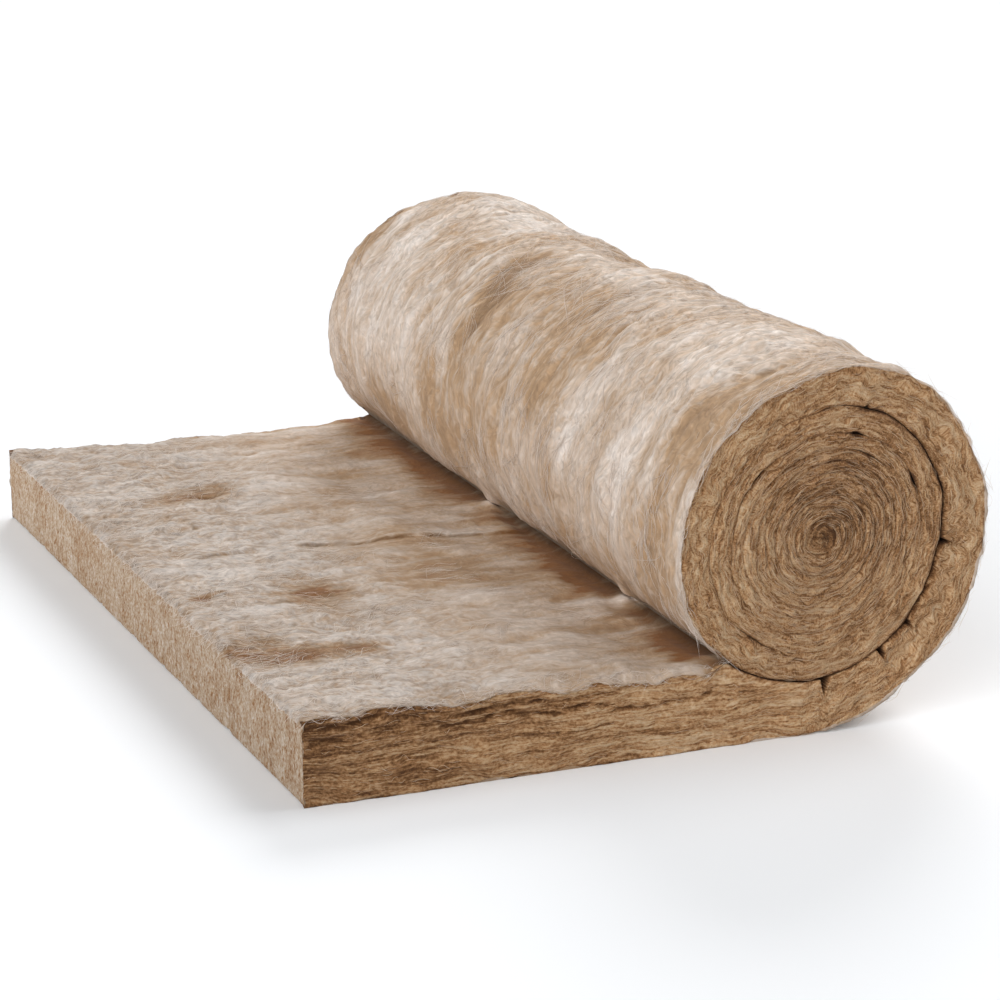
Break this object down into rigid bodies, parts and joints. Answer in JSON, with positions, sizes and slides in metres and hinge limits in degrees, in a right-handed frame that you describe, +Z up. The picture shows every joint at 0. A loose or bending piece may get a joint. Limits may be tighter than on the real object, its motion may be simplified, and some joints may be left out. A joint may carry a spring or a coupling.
{
  "type": "insulation roll",
  "caption": "Partly unrolled mat of unfaced mineral wool: a flat tail lies on the floor and winds up into a soft roll whose turns show on its ends.",
  "frame": {"origin": "on the floor, in the middle of the part's length and width", "axes": "+X from the tail to the roll, +Y along the roll's axis, +Z up"},
  "size_m": [0.867, 1.2, 0.4261],
  "materials": {
    "mineral_wool": "matte, fibrous"
  },
  "bodies": {
    "root": {"insulation_mat": "mineral_wool"}
  },
  "joints": []
}
